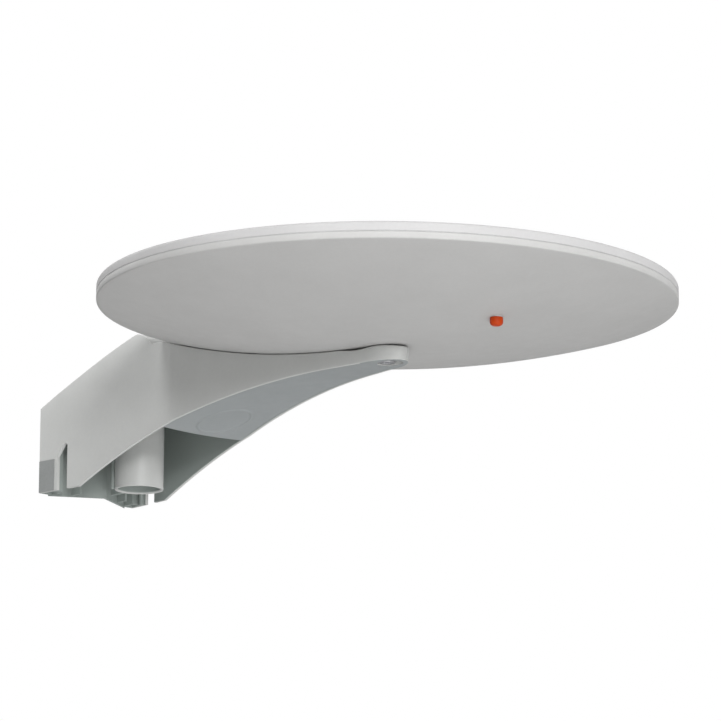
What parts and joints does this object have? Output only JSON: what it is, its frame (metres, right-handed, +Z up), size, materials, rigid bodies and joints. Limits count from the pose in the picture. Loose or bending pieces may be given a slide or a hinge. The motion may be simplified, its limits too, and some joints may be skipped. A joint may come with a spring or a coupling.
{
  "type": "flat omnidirectional disc antenna",
  "caption": "Flat round two-shell outdoor television antenna on a tapered hollow arm, with a mast socket, a V-shaped mast saddle, band slots and a capped coax socket.",
  "frame": {"origin": "centre of the mast socket's mouth", "axes": "+Z up along the mast, +X along the arm from the wall towards the disc, +Y across the arm"},
  "size_m": [0.5004, 0.38, 0.115],
  "materials": {
    "bracket_plastic": "fine matt moulded plastic, light grey",
    "cover_plastic": "fine matt moulded plastic, light grey",
    "disc_top_plastic": "fine satin moulded plastic, white",
    "disc_base_plastic": "fine matt moulded plastic, off-white grey",
    "rubber": "matt rubber",
    "washer_nylon": "matt nylon",
    "steel": "zinc-plated steel",
    "brass": "machined brass",
    "aluminium": "rolled aluminium sheet",
    "carrier_plastic": "natural moulded plastic",
    "circuit_board": "green solder mask",
    "chip_plastic": "black epoxy",
    "tinplate": "tinned steel",
    "cable_jacket": "black cable jacket",
    "gold_plate": "gold-plated brass",
    "insulator": "white fluoropolymer",
    "red_cap": "orange-red soft plastic"
  },
  "bodies": {
    "bracket": {"arm_shell": "bracket_plastic", "mast_saddle": "bracket_plastic", "mast_socket": "bracket_plastic", "socket_ribs": "bracket_plastic", "under_cover": "cover_plastic", "friction_washer": "washer_nylon"},
    "disc": {"top_cover": "disc_top_plastic", "base_shell": "disc_base_plastic", "rim_seal": "rubber", "centre_insert": "brass", "centre_screw": "steel", "screw_washer": "steel", "element_carrier": "carrier_plastic", "carrier_screws": "steel", "dipole_x": "aluminium", "dipole_y": "aluminium", "balun_board": "circuit_board", "feed_coax": "cable_jacket", "vhf_loop": "aluminium", "loop_clips": "carrier_plastic", "amplifier_board": "circuit_board", "amplifier_shield": "tinplate", "board_components": "chip_plastic", "board_screws": "steel", "inner_coax": "cable_jacket", "coax_socket": "gold_plate", "socket_seal": "rubber", "socket_nut": "gold_plate", "socket_insulator": "insulator", "socket_contact": "gold_plate"},
    "cap": {"connector_cap": "red_cap"}
  },
  "joints": [
    {"name": "disc_swivel", "type": "hinge", "parent": "bracket", "child": "disc", "pos_m": [0.253, 0, 0.0595], "axis": [0, 0, 1], "range_deg": [-155, 150]},
    {"name": "cap_pull", "type": "slide", "parent": "disc", "child": "cap", "axis": [0, 0, -1], "range_m": [0, 0.03]}
  ]
}
